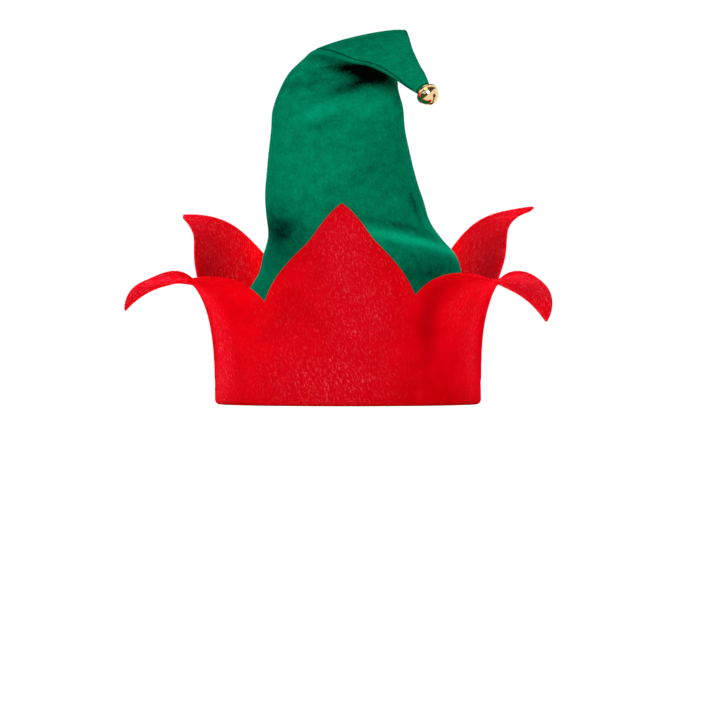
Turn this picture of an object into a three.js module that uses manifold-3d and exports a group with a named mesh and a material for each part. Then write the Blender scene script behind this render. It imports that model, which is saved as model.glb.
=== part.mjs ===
// Felt elf hat: a tall two-panel crown whose tip folds forward, a cuff cut into six petals, a jingle bell.
// Millimetres, +Z up. The origin is the centre of the head opening, in the plane of the rim; -Y is the front.
import * as THREE from "three";
import { mergeVertices } from "three/addons/utils/BufferGeometryUtils.js";
import Module from "manifold-3d";

// Driving dimensions
const rimWidth = 173; // outside of the cuff at the rim, left to right
const rimDepth = 200; // outside of the cuff at the rim, front to back
const crownHeight = 244; // rim to the top of the fold
const cuffFelt = 1.6;
const crownFelt = 1.5;
const feltGap = 0.3; // clearance between two layers of felt, and between the felt and the bell
const valleyHeight = 67; // cut height of the cuff between two petals
const petalHeight = 138; // cut height of the cuff at a petal's tip
const petalCurve = 2; // 1 cuts straight-sided petals, more makes them rounder
const petalPoint = 0.35; // straight share of a petal's sides, which gives it its point
const hugNarrowing = 0.92; // how fast the felt that hugs the crown draws in sideways with height
const hugCurve = 1.5; // power of the height that it draws in with
const plainShare = 0.9; // share of valleyHeight below which the cuff's rows are level
const cuffTurn = -3.5; // degrees that the cuff is turned on the crown, seen from above
const bellDiameter = 14.8; // over the crimped flange
const bellTopRise = 6; // flange to the top of the upper dome
const bellBottomDrop = 7.8; // flange to the lowest point of the lower dome
const bellWall = 0.5;
const bellSlitWidth = 0.9;
const bellSlitLength = 6.6; // between the centres of the two end holes
const bellSlitTurn = 135; // degrees from the crown tip's wide axis to the slit
const bellEndHole = 2.1;
const loopDiameter = 3.8; // outside of the bell's wire loop
const loopWire = 0.8;
const pelletDiameter = 4;
const pelletDrop = 2.6; // flange to the middle of the pellet, along the bell

// Mesh density
const cuffColumnsPerPetal = 14;
const cuffPlainRows = 5; // level rows below the valleys
const cuffPetalRows = 8; // rows that follow the cut edge
const crownColumns = 16;
const crownRingsPerSection = 2;
const leanSteps = 70;
const bellSides = 24;

const degrees = Math.PI / 180;
const up = new THREE.Vector3(0, 0, 1);

// Rows of numbers under named columns, as one object for each row.
function table(columns, rows) {
  return Object.entries(rows).map(([name, values]) => ({
    name,
    ...Object.fromEntries(columns.map((column, k) => [column, values[k]])),
  }));
}

// Half sizes of the crown where it is sewn inside the cuff
const crownHalfWidth = rimWidth / 2 - cuffFelt - feltGap;
const crownHalfDepth = rimDepth / 2 - cuffFelt - feltGap;

// Sections of the crown from the rim to the tip. x and wide are shares of crownHalfWidth, y and deep of
// crownHalfDepth, z of crownHeight. roll tips the section's wide axis up to the right, and pitch turns its
// spine from up, at 0, through forward, at 90, to down, at 180. The seams are angles round the section.
const crownSections = table(["x", "y", "z", "wide", "deep", "roll", "pitch", "rightSeam", "leftSeam"], {
  rim: [0, 0, 0, 1, 1, 0, 0, 0, 180],
  brow: [0, 0, 0.14, 0.97, 0.95, 0, 0, 0, 180],
  temple: [0.045, 0, 0.26, 0.88, 0.85, 0, 0, 0, 180],
  shoulder: [0.093, 0.02, 0.345, 0.785, 0.72, 0, 0, 0, 180],
  shoulder_top: [0.085, 0.02, 0.395, 0.745, 0.64, 0, 0, 0, 180],
  neck: [0.03, 0.01, 0.44, 0.67, 0.57, 0, 0, -6, 180],
  lower_body: [-0.004, 0, 0.485, 0.634, 0.52, 0, 0, -12, 180],
  waist: [-0.018, 0, 0.54, 0.604, 0.46, 0, 0, -14, 180],
  middle: [-0.046, 0.01, 0.595, 0.579, 0.41, 0, 0, -6, 180],
  body: [-0.064, 0.02, 0.655, 0.552, 0.355, 0, 0, 0, 180],
  upper_body: [-0.076, 0.035, 0.73, 0.518, 0.285, 0, 0, 0, 180],
  chest: [-0.08, 0.05, 0.787, 0.506, 0.235, 1, 0, 0, 178],
  under_fold: [-0.078, 0.06, 0.84, 0.467, 0.18, 3, 4, 0, 174],
  fold_start: [-0.03, 0.052, 0.899, 0.437, 0.118, 7, 20, 0, 166],
  fold_rise: [0.042, 0.012, 0.941, 0.4, 0.074, 11, 52, 0, 158],
  fold_top: [0.092, -0.07, 0.96, 0.372, 0.046, 13, 92, 0, 150],
  fold_fall: [0.175, -0.15, 0.944, 0.308, 0.046, 13, 135, 0, 150],
  flap: [0.258, -0.196, 0.92, 0.245, 0.048, 12, 158, 0, 150],
  flap_middle: [0.349, -0.228, 0.901, 0.18, 0.048, 10, 162, 0, 150],
  flap_end: [0.44, -0.255, 0.875, 0.123, 0.047, 16, 160, 0, 154],
  tip_root: [0.517, -0.277, 0.849, 0.089, 0.043, 29, 152, 0, 165],
  tip: [0.566, -0.298, 0.829, 0.06, 0.03, 37, 141, 0, 180],
});
const tipSection = crownSections.length - 1;

// Dents and ridges in the crown. at is the section's place in crownSections, angle is measured round the
// section from its right end (the front is 270), alongReach counts sections, roundReach is in degrees, and
// depth is a share of crownHalfDepth, negative for a ridge.
const crownFolds = table(["at", "angle", "alongReach", "roundReach", "depth"], {
  right_shoulder_ridge: [5, 322, 0.55, 30, -0.035],
  right_valley_hollow: [3.6, 305, 0.9, 22, 0.03],
  right_seam_dimple: [7.2, 340, 0.9, 11, 0.018],
  front_hollow: [7.3, 292, 1, 18, 0.03],
  left_edge_hollow: [5.4, 200, 0.8, 18, 0.04],
  left_edge_swell: [7, 190, 0.7, 16, -0.02],
  high_left_hollow: [12, 222, 0.8, 24, 0.03],
  high_right_hollow: [12.7, 292, 0.8, 22, 0.035],
  diagonal_ridge: [11.2, 285, 0.7, 26, -0.022],
  back_left_dent: [6.3, 128, 1.1, 24, 0.04],
  back_right_dent: [9.5, 62, 1.3, 24, 0.035],
});

// The six petals, from the front one round to the right. cut is a share of petalHeight, and notch, for the
// valley after the petal, of valleyHeight. round is a share of petalCurve, hug says how far the felt follows
// the crown inwards, swing how many degrees its bend turns to the right, skew how much earlier it bends at
// its right edge than in its middle, as a share of petalHeight, and twist how much more it leans there.
const petals = table(["cut", "notch", "round", "hug", "swing", "skew", "twist"], {
  front: [1, 1.04, 1.05, 0.93, 0, 0, 0],
  right_front: [1, 1, 1, 0, -4, -0.06, 0.15],
  right_back: [1.09, 1, 1, 0, -10, 0, -0.15],
  back: [1, 1.15, 1, 0.78, 0, 0, 0],
  left_back: [1.02, 1, 1, 0, 10, 0.02, 0.2],
  left_front: [1, 0.98, 1, 0, 10, 0.09, -0.2],
});

// Degrees that each petal leans out from vertical along the felt. height is a share of petalHeight.
const petalLeans = table(["height", ...petals.map((petal) => petal.name)], {
  rim: [0, 0, 0, 0, 0, 0, 0],
  low: [0.22, 0, 2, 2, 0, 4, 5],
  waist: [0.36, 0, 12, 8, 0, 9, 15],
  valley: [0.5, 0, 31, 14, 2, 13, 34],
  bend: [0.64, 0, 80, 11, 4, 10, 82],
  curl: [0.8, 0, 118, 20, 6, 23, 102],
  tip: [1, 0, 182, 74, 10, 80, 158],
});
const fanShare = 0.35; // 0 bends a petal straight along its middle line, 1 fans it out
const petalBlend = 0.5; // share of a petal's width over which its lean turns into the next one's

// A value read between numbered rows, along a smooth curve through them.
function smoothBetween(values, position) {
  const last = values.length - 1;
  const at = Math.min(Math.max(position, 0), last);
  const i = Math.min(Math.floor(at), last - 1);
  const t = at - i;
  const valueAt = (k) => values[Math.min(Math.max(k, 0), last)];
  const [before, from, to, after] = [i - 1, i, i + 1, i + 2].map(valueAt);
  const leave = (to - before) / 2;
  const arrive = (after - from) / 2;
  const rise = to - from;
  return from + t * leave + t * t * (3 * rise - 2 * leave - arrive) + t * t * t * (leave + arrive - 2 * rise);
}

// One column of a table read at a place between its rows.
const readColumn = (rows, column, place) => smoothBetween(rows.map((row) => row[column]), place);

// The place in a table where a column that grows from row to row has a value.
function placeInColumn(rows, column, value) {
  const above = rows.findIndex((row) => row[column] >= value);
  const k = above < 0 ? rows.length - 1 : Math.max(1, above);
  return k - 1 + (value - rows[k - 1][column]) / (rows[k][column] - rows[k - 1][column]);
}

// Centre, axes and half sizes of the crown's section at a position between the rows of the table.
function crownSection(position) {
  const read = (column) => readColumn(crownSections, column, position);
  const roll = read("roll") * degrees;
  const pitch = read("pitch") * degrees;
  const wideAxis = new THREE.Vector3(Math.cos(roll), 0, Math.sin(roll));
  const spineUp = new THREE.Vector3(-Math.sin(roll), 0, Math.cos(roll));
  const back = new THREE.Vector3(0, 1, 0);
  const halfSizes = new THREE.Vector3(crownHalfWidth, crownHalfDepth, crownHeight);
  return {
    centre: new THREE.Vector3(read("x"), read("y"), read("z")).multiply(halfSizes),
    wideAxis,
    deepAxis: back.clone().multiplyScalar(Math.cos(pitch)).addScaledVector(spineUp, Math.sin(pitch)),
    spine: spineUp.clone().multiplyScalar(Math.cos(pitch)).addScaledVector(back, -Math.sin(pitch)),
    halfWide: read("wide") * crownHalfWidth,
    halfDeep: read("deep") * crownHalfDepth,
    rightSeam: read("rightSeam") * degrees,
    leftSeam: read("leftSeam") * degrees,
  };
}

// How far the crown's surface is pressed in at a place, in millimetres.
function foldDepth(position, angle) {
  let depth = 0;
  for (const fold of crownFolds) {
    const along = (position - fold.at) / fold.alongReach;
    const turn = angle / degrees - fold.angle;
    const round = (turn - 360 * Math.round(turn / 360)) / fold.roundReach;
    depth += fold.depth * crownHalfDepth * Math.exp(-(along * along + round * round) / 2);
  }
  return depth;
}

// A point of the crown at an angle round a section. inset is 0 on the outside and crownFelt on the inside.
function crownPoint(position, angle, inset) {
  const section = crownSection(position);
  const pressed = foldDepth(position, angle);
  const wide = section.halfWide - inset - pressed;
  const deep = section.halfDeep - inset - pressed;
  return section.centre
    .clone()
    .addScaledVector(section.wideAxis, wide * Math.cos(angle))
    .addScaledVector(section.deepAxis, deep * Math.sin(angle));
}

function meshGeometry(positions, indices) {
  const geometry = new THREE.BufferGeometry();
  geometry.setAttribute("position", new THREE.Float32BufferAttribute(positions, 3));
  geometry.setIndex(indices);
  geometry.computeVertexNormals();
  return geometry;
}

// A closed sheet of felt from two grids of points: outside[row][column] and inside[row][column].
function sheetGeometry(outside, inside, ring) {
  const rows = outside.length;
  const columns = outside[0].length;
  const corners = [...outside.flat(), ...inside.flat()];
  const outer = (i, j) => i * columns + (j % columns);
  const inner = (i, j) => rows * columns + outer(i, j);
  const indices = [];
  const length = (a, b) => corners[a].distanceTo(corners[b]);
  const quad = (a, b, c, d) => {
    if (length(a, c) <= length(b, d)) indices.push(a, b, c, a, c, d);
    else indices.push(a, b, d, b, c, d);
  };
  const spans = ring ? columns : columns - 1;
  for (let j = 0; j < spans; j++) {
    for (let i = 0; i < rows - 1; i++) {
      quad(outer(i, j), outer(i, j + 1), outer(i + 1, j + 1), outer(i + 1, j));
      quad(inner(i, j), inner(i + 1, j), inner(i + 1, j + 1), inner(i, j + 1));
    }
    quad(outer(0, j), inner(0, j), inner(0, j + 1), outer(0, j + 1));
    quad(outer(rows - 1, j), outer(rows - 1, j + 1), inner(rows - 1, j + 1), inner(rows - 1, j));
  }
  for (let i = 0; !ring && i < rows - 1; i++) {
    const end = columns - 1;
    quad(outer(i, 0), outer(i + 1, 0), inner(i + 1, 0), inner(i, 0));
    quad(outer(i, end), inner(i, end), inner(i + 1, end), outer(i + 1, end));
  }
  return meshGeometry(corners.flatMap((corner) => corner.toArray()), indices);
}

// One panel of the crown, between its seams. The front panel runs from the left seam to the right one.
function crownPanel(isFront) {
  const ringCount = tipSection * crownRingsPerSection;
  const grid = (inset) =>
    Array.from({ length: ringCount + 1 }, (_, i) => {
      const position = (i / ringCount) * tipSection;
      const section = crownSection(position);
      const from = isFront ? section.leftSeam : section.rightSeam;
      const to = isFront ? section.rightSeam + 2 * Math.PI : section.leftSeam;
      const seamStep = (angle) => {
        const wide = (section.halfWide - crownFelt) * Math.sin(angle);
        const deep = (section.halfDeep - crownFelt) * Math.cos(angle);
        return feltGap / 2 / Math.hypot(wide, deep);
      };
      const start = from + seamStep(from);
      const end = to - seamStep(to);
      return Array.from({ length: crownColumns + 1 }, (_, j) =>
        crownPoint(position, start + ((end - start) * j) / crownColumns, inset),
      );
    });
  return sheetGeometry(grid(0), grid(crownFelt), false);
}

// Angles round the rim at equal steps of its length, measured from the front towards the right.
function rimAngles(count) {
  const fine = 720; // steps round the rim that its length is added up in
  const speed = (a) => Math.hypot((rimWidth / 2) * Math.cos(a), (rimDepth / 2) * Math.sin(a));
  const lengths = [0];
  for (let k = 0; k < fine; k++) lengths.push(lengths[k] + speed(((k + 0.5) / fine) * 2 * Math.PI));
  const angles = [];
  for (let j = 0, k = 0; j < count; j++) {
    const wanted = (j / count) * lengths[fine];
    while (lengths[k + 1] < wanted) k++;
    angles.push(((k + (wanted - lengths[k]) / (lengths[k + 1] - lengths[k])) / fine) * 2 * Math.PI);
  }
  return angles;
}

// The lean of a petal at a height along the felt, as a share of petalHeight, and a place across the petal.
function petalLean(petal, height, across) {
  const place = placeInColumn(petalLeans, "height", height + petal.skew * across);
  return (1 + petal.twist * across) * readColumn(petalLeans, petal.name, place);
}

// A value of the petals read at a place round the cuff, where whole numbers are petal middles. valueOf gets
// the petal and the place across it, from -1 at its left edge to 1 at its right one.
function acrossPetals(place, valueOf) {
  const k = Math.floor(place);
  const t = Math.min(Math.max((place - k - 0.5) / petalBlend + 0.5, 0), 1);
  const mix = t * t * (3 - 2 * t);
  const at = (n) => petals[((n % petals.length) + petals.length) % petals.length];
  const across = 2 * (place - k);
  return valueOf(at(k), Math.min(across, 1)) * (1 - mix) + valueOf(at(k + 1), Math.max(across - 2, -1)) * mix;
}

// How far the felt that hugs the crown stands in from the rim at a height.
function crownShift(angle, height) {
  const place = placeInColumn(crownSections, "z", height / crownHeight);
  const narrowed = hugNarrowing * Math.pow(height / crownHeight, hugCurve) * crownHalfWidth;
  const shallower = (1 - readColumn(crownSections, "deep", place)) * crownHalfDepth;
  return new THREE.Vector3(-narrowed * Math.sin(angle), shallower * Math.cos(angle), 0);
}

// The outside of the cuff at a place round it, from the rim to a cut height, walked in small steps.
function cuffPoint(place, rimAngle, cutHeight) {
  const petalAngle = (2 * Math.PI) / petals.length;
  const fan = ((1 - fanShare) * petalAngle * Math.sin(place * 2 * Math.PI)) / (2 * Math.PI);
  const normal = Math.atan2(Math.sin(rimAngle) / rimWidth, Math.cos(rimAngle) / rimDepth);
  const swing = acrossPetals(place, (petal) => petal.swing) * degrees;
  const bearing = normal - fan + swing;
  const outward = new THREE.Vector3(Math.sin(bearing), -Math.cos(bearing), 0);
  const hug = acrossPetals(place, (petal) => petal.hug);
  const step = petalHeight / leanSteps;
  let out = 0;
  let height = 0;
  for (let walked = 0; walked < cutHeight - 1e-9; walked += step) {
    const length = Math.min(step, cutHeight - walked);
    const share = (walked + length / 2) / petalHeight;
    const lean = acrossPetals(place, (petal, across) => petalLean(petal, share, across)) * degrees;
    const slope = crownShift(rimAngle, height + step).sub(crownShift(rimAngle, height)).length() / step;
    out += Math.sin(lean) * length;
    height += (Math.cos(lean) * length) / Math.hypot(1, hug * slope);
  }
  const rim = new THREE.Vector3((rimWidth / 2) * Math.sin(rimAngle), (-rimDepth / 2) * Math.cos(rimAngle), 0);
  return rim
    .addScaledVector(crownShift(rimAngle, height), hug)
    .addScaledVector(outward, out)
    .addScaledVector(up, height);
}

// The cut height of the cuff at a place round it: petal tips at whole numbers, valleys half way between.
function cutHeightAt(place) {
  const petal = petals[Math.round(place) % petals.length];
  const valleyPetal = petals[Math.floor(place) % petals.length];
  const across = Math.abs(place - Math.round(place)) * 2;
  const valley = valleyPetal.notch * valleyHeight;
  const drop = petalPoint * across + (1 - petalPoint) * Math.pow(across, petalCurve * petal.round);
  return valley + (petal.cut * petalHeight - valley) * (1 - drop);
}

// The cuff: one strip of felt round the crown, its top edge cut into petals.
function petalCuff() {
  const columns = petals.length * cuffColumnsPerPetal;
  const angles = rimAngles(columns);
  const outside = [];
  const inside = [];
  const nudge = 0.01; // share of a petal to either side, for the direction that the felt faces
  const levelTop = plainShare * valleyHeight;
  for (let i = 0; i <= cuffPlainRows + cuffPetalRows; i++) {
    const plain = Math.min(i / cuffPlainRows, 1);
    const share = Math.max(0, i - cuffPlainRows) / cuffPetalRows;
    const outer = [];
    const inner = [];
    for (let j = 0; j < columns; j++) {
      const place = j / cuffColumnsPerPetal;
      const angle = angles[j] + cuffTurn * degrees;
      const height = plain * levelTop + (cutHeightAt(place) - levelTop) * share;
      const point = cuffPoint(place, angle, height);
      const beside = (by) => cuffPoint(place + by, angle + (by * 2 * Math.PI) / petals.length, height);
      const above = (by) => cuffPoint(place, angle, Math.max(0, height + by * petalHeight));
      const along = beside(nudge).sub(beside(-nudge));
      const rise = above(nudge).sub(above(-nudge));
      if (i === 0) rise.copy(up);
      outer.push(point);
      inner.push(point.clone().addScaledVector(along.cross(rise).normalize(), -cuffFelt));
    }
    outside.push(outer);
    inside.push(inner);
  }
  return sheetGeometry(outside, inside, true);
}

const wasm = await Module();
wasm.setup();

// A closed three.js geometry as a manifold-3d solid, and back again.
function toSolid(geometry) {
  const bare = geometry.clone();
  bare.deleteAttribute("normal");
  bare.deleteAttribute("uv");
  const merged = mergeVertices(bare, 1e-4);
  const vertProperties = merged.attributes.position.array;
  const triVerts = new Uint32Array(merged.index.array);
  return new wasm.Manifold(new wasm.Mesh({ numProp: 3, vertProperties, triVerts }));
}

function toGeometry(solid) {
  const mesh = solid.getMesh();
  return meshGeometry(Array.from(mesh.vertProperties), Array.from(mesh.triVerts));
}

// Outline of the bell from its lowest point to its top. radius is a share of half bellDiameter, height of
// bellBottomDrop below the flange and of bellTopRise above it.
const bellOutline = table(["radius", "height"], {
  pole: [0, -1],
  low_dome: [0.36, -0.93],
  dome: [0.64, -0.74],
  high_dome: [0.83, -0.46],
  shoulder: [0.88, -0.22],
  groove: [0.86, -0.1],
  flange_under: [0.99, -0.06],
  flange_over: [0.99, 0.08],
  top_edge: [0.86, 0.14],
  top_side: [0.76, 0.5],
  top_dome: [0.48, 0.86],
  top: [0, 1],
});

// The bell: a thin shell turned from its outline, with a slit between two round holes and a wire loop on top.
function bellShell() {
  const outside = bellOutline.map(
    ({ radius, height }) =>
      new THREE.Vector2((radius * bellDiameter) / 2, height * (height < 0 ? bellBottomDrop : bellTopRise)),
  );
  const lining = outside.filter((_, k) => !bellOutline[k].name.startsWith("flange"));
  const inside = lining.map((point, k) => {
    const before = lining[Math.max(k - 1, 0)];
    const after = lining[Math.min(k + 1, lining.length - 1)];
    const along = after.clone().sub(before).normalize();
    const onAxis = k === 0 || k === lining.length - 1;
    return onAxis
      ? new THREE.Vector2(0, point.y - bellWall * Math.sign(point.y))
      : new THREE.Vector2(point.x - bellWall * along.y, point.y + bellWall * along.x);
  });
  const turned = (points) => toSolid(new THREE.LatheGeometry(points, bellSides).rotateX(Math.PI / 2));
  const slitTurn = bellSlitTurn * degrees;
  const hole = (side) =>
    toSolid(
      new THREE.CylinderGeometry(bellEndHole / 2, bellEndHole / 2, bellBottomDrop, 12)
        .rotateX(Math.PI / 2)
        .translate((side * bellSlitLength) / 2, 0, -bellBottomDrop)
        .rotateZ(slitTurn),
    );
  const slit = toSolid(
    new THREE.BoxGeometry(bellSlitLength, bellSlitWidth, bellBottomDrop)
      .translate(0, 0, -bellBottomDrop)
      .rotateZ(slitTurn),
  );
  const loop = toSolid(
    new THREE.TorusGeometry((loopDiameter - loopWire) / 2, loopWire / 2, 6, 12)
      .rotateX(Math.PI / 2)
      .translate(0, 0, bellTopRise + loopDiameter / 2 - loopWire),
  );
  const shell = turned(outside).subtract(turned(inside)).subtract(hole(-1)).subtract(hole(1)).subtract(slit);
  return toGeometry(shell.add(loop));
}

const greenFelt = new THREE.MeshStandardMaterial({ color: 0x007a54, roughness: 0.95, metalness: 0 });
const redFelt = new THREE.MeshStandardMaterial({ color: 0xd8000f, roughness: 0.92, metalness: 0 });
const goldPlate = new THREE.MeshStandardMaterial({ color: 0xe2b95a, roughness: 0.18, metalness: 1 });
const steel = new THREE.MeshStandardMaterial({ color: 0x9a9a98, roughness: 0.35, metalness: 1 });

function named(name, geometry, material) {
  const mesh = new THREE.Mesh(geometry, material);
  mesh.name = name;
  return mesh;
}

// The bell hangs in line with the crown's tip, its loop between the panels and its pellet on the low side.
function jingleBell() {
  const tip = crownSection(tipSection);
  const axis = tip.spine.clone().negate();
  const sideways = new THREE.Vector3().crossVectors(axis, tip.wideAxis);
  const bell = new THREE.Group();
  bell.name = "jingle_bell";
  bell.quaternion.setFromRotationMatrix(new THREE.Matrix4().makeBasis(tip.wideAxis, sideways, axis));
  bell.position.copy(tip.centre).addScaledVector(tip.spine, bellTopRise + feltGap);
  bell.add(named("bell_shell", bellShell(), goldPlate));
  const pellet = named("bell_pellet", new THREE.IcosahedronGeometry(pelletDiameter / 2, 1), steel);
  const shoulder = bellOutline.find((row) => row.name === "shoulder").radius * (bellDiameter / 2) - bellWall;
  const down = up.clone().negate().applyQuaternion(bell.quaternion.clone().invert());
  pellet.position
    .set(down.x, down.y, 0)
    .setLength(shoulder - pelletDiameter / 2 - 2 * feltGap)
    .setZ(-pelletDrop);
  bell.add(pellet);
  return bell;
}

const hat = new THREE.Group();
hat.name = "elf_hat";
hat.add(named("petal_cuff", petalCuff(), redFelt));
hat.add(named("crown_front_panel", crownPanel(true), greenFelt));
hat.add(named("crown_back_panel", crownPanel(false), greenFelt));
hat.add(jingleBell());

export default hat;
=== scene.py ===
# Looks of the felt elf hat: crown, petal cuff and jingle bell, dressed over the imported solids.
# Lengths are in millimetres and become metres where a mesh is placed. -Y is the front of the hat.
import math

import bmesh
import bpy
from mathutils import Matrix, Vector


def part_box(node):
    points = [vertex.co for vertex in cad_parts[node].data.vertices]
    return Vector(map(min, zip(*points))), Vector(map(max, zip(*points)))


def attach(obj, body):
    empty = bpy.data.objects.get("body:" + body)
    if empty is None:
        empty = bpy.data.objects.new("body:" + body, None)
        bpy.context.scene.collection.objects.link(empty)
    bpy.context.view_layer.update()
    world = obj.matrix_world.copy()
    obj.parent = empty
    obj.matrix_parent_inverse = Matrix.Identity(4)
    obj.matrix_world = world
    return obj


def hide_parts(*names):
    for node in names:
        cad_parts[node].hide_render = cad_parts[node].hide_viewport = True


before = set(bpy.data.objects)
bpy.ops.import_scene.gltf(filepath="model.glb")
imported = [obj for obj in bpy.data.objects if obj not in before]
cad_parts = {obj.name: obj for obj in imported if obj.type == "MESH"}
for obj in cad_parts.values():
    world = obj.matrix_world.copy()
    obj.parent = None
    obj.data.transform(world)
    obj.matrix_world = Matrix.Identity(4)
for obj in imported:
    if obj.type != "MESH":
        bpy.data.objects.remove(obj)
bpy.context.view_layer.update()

MM = 0.001
UP = Vector((0, 0, 1))

# Sizes of the felt, as in the solids
CROWN_LOW, CROWN_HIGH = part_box("crown_front_panel")
CUFF_LOW, CUFF_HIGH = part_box("petal_cuff")
CROWN_HALF_WIDTH = CROWN_HIGH.x / MM
CROWN_HALF_DEPTH = -CROWN_LOW.y / MM
RIM_HALF_DEPTH = CUFF_HIGH.y / MM
RIM_HALF_WIDTH = CROWN_HALF_WIDTH + RIM_HALF_DEPTH - CROWN_HALF_DEPTH
CROWN_HEIGHT = 244
CUFF_FELT = 1.3
CROWN_FELT = 1.5
FELT_GAP = 0.3
VALLEY_HEIGHT = 67
PETAL_HEIGHT = 138
PETAL_CURVE = 2  # 1 cuts straight-sided petals, more makes them rounder
PETAL_POINT = 0.35  # straight share of a petal's sides, which gives it its point
PLAIN_SHARE = 0.9
CUFF_TURN = math.radians(-3.5)
FAN_SHARE = 0.35
PETAL_BLEND = 0.5
HUG_NARROWING = 0.92  # how fast the felt that hugs the crown draws in sideways with height
HUG_CURVE = 1.5  # power of the height that it draws in with

# Sizes of the bell, as in the solids
BELL_RADIUS = 7.4
BELL_TOP_RISE = 6
BELL_BOTTOM_DROP = 7.8
BELL_WALL = 0.5
BELL_SLIT_WIDTH = 0.9
BELL_SLIT_LENGTH = 6.6
BELL_SLIT_TURN = math.radians(135)
BELL_END_HOLE = 2.1
BELL_OPENING_TOP = -1.5  # the slit and holes are cut through the shell only below this height
LOOP_RADIUS = 1.9
LOOP_WIRE = 0.8

# Sewn details
SEAM_ROLL = 1.5  # radius over which the felt turns in at a seam
SEAM_ALLOWANCE = 3  # felt left inside a seam
SEAM_SHADE = 0.8  # painted shade in a seam's groove: how much darker the felt's colour is made where it turns into a seam
SEAM_ROLL_SHARE = 0.3  # of the crown's half depth, the most that the roll takes where the crown is flat
SEAM_ALLOWANCE_SHARE = 0.35  # of the crown's half depth, the most that the felt inside a seam takes
RIM_ROLL = 3  # radius over which the cuff turns in at its lower edge
RIM_TURN_IN = 0.5  # felt that each row past the roll adds inside the rim
RIM_FLAT_ROWS = 2
CUT_EDGE = 0.3  # rounding of the crown's cut edges
CUFF_CUT_EDGE = 0.35  # rounding of the cuff's cut edges
PLATE_EDGE = 0.12  # rounding of the bell's cut edges
EDGE_ANGLE = math.radians(50)  # sharper edges than this are rounded
LEAN_REACH = 1.1  # share of PETAL_HEIGHT up to which the felt's lean is worked out, past the longest petal
CUFF_SEAM_PLACE = 3.5  # the cuff's ends meet in the valley after the back petal

# Fibres of the felt
FIBRE_BEND_SCALE = 45  # bends in a metre
FIBRE_BEND = 0.004  # metres that a fibre bends sideways

# Mesh density
CROWN_COLUMNS = 96
CROWN_RINGS_PER_SECTION = 8
CUFF_COLUMNS_PER_PETAL = 56
CUFF_PLAIN_ROWS = 22
CUFF_PETAL_ROWS = 40
CUFF_ROLL_ROWS = 7
LEAN_STEPS = 138
BELL_STEPS = 96
BELL_ROW_STEPS = 6
BELL_HOLE_SIDES = 16


def table(columns, rows):
    """Rows of numbers under named columns, as one dictionary for each row."""
    return [dict(zip(columns, values), name=name) for name, values in rows.items()]


# Sections of the crown from the rim to the tip. x and wide are shares of the crown's half width at the rim, y
# and deep of its half depth, z of its height. roll tips the section's wide axis up to the right, and pitch
# turns its spine from up, at 0, through forward, at 90, to down, at 180.
CROWN_SECTIONS = table(
    ["x", "y", "z", "wide", "deep", "roll", "pitch", "right_seam", "left_seam"],
    {
        "rim": [0, 0, 0, 1, 1, 0, 0, 0, 180],
        "brow": [0, 0, 0.14, 0.97, 0.95, 0, 0, 0, 180],
        "temple": [0.045, 0, 0.26, 0.88, 0.85, 0, 0, 0, 180],
        "shoulder": [0.093, 0.02, 0.345, 0.785, 0.72, 0, 0, 0, 180],
        "shoulder_top": [0.085, 0.02, 0.395, 0.745, 0.64, 0, 0, 0, 180],
        "neck": [0.03, 0.01, 0.44, 0.67, 0.57, 0, 0, -6, 180],
        "lower_body": [-0.004, 0, 0.485, 0.634, 0.52, 0, 0, -12, 180],
        "waist": [-0.018, 0, 0.54, 0.604, 0.46, 0, 0, -14, 180],
        "middle": [-0.046, 0.01, 0.595, 0.579, 0.41, 0, 0, -6, 180],
        "body": [-0.064, 0.02, 0.655, 0.552, 0.355, 0, 0, 0, 180],
        "upper_body": [-0.076, 0.035, 0.73, 0.518, 0.285, 0, 0, 0, 180],
        "chest": [-0.08, 0.05, 0.787, 0.506, 0.235, 1, 0, 0, 178],
        "under_fold": [-0.078, 0.06, 0.84, 0.467, 0.18, 3, 4, 0, 174],
        "fold_start": [-0.03, 0.052, 0.899, 0.437, 0.118, 7, 20, 0, 166],
        "fold_rise": [0.042, 0.012, 0.941, 0.4, 0.074, 11, 52, 0, 158],
        "fold_top": [0.092, -0.07, 0.96, 0.372, 0.046, 13, 92, 0, 150],
        "fold_fall": [0.175, -0.15, 0.944, 0.308, 0.046, 13, 135, 0, 150],
        "flap": [0.258, -0.196, 0.92, 0.245, 0.048, 12, 158, 0, 150],
        "flap_middle": [0.349, -0.228, 0.901, 0.18, 0.048, 10, 162, 0, 150],
        "flap_end": [0.44, -0.255, 0.875, 0.123, 0.047, 16, 160, 0, 154],
        "tip_root": [0.517, -0.277, 0.849, 0.089, 0.043, 29, 152, 0, 165],
        "tip": [0.566, -0.298, 0.829, 0.06, 0.03, 37, 141, 0, 180],
    },
)
TIP = len(CROWN_SECTIONS) - 1

# Dents and ridges in the crown. at is a place in CROWN_SECTIONS, angle goes round the section from its right
# end (the front is 270), along counts sections, round is in degrees, and depth is a share of the crown's half
# depth, negative for a ridge.
CROWN_FOLDS = table(
    ["at", "angle", "along", "round", "depth"],
    {
        "right_shoulder_ridge": [5, 322, 0.55, 30, -0.035],
        "right_valley_hollow": [3.6, 305, 0.9, 22, 0.03],
        "right_seam_dimple": [7.2, 340, 0.9, 11, 0.018],
        "front_hollow": [7.3, 292, 1, 18, 0.03],
        "left_edge_hollow": [5.4, 200, 0.8, 18, 0.04],
        "left_edge_swell": [7, 190, 0.7, 16, -0.02],
        "high_left_hollow": [12, 222, 0.8, 24, 0.03],
        "high_right_hollow": [12.7, 292, 0.8, 22, 0.035],
        "pocket_under_flap": [12.6, 300, 0.5, 26, 0.035],
        "diagonal_ridge": [11.2, 285, 0.7, 26, -0.022],
        "back_left_dent": [6.3, 128, 1.1, 24, 0.04],
        "back_right_dent": [9.5, 62, 1.3, 24, 0.035],
    },
)
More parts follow.
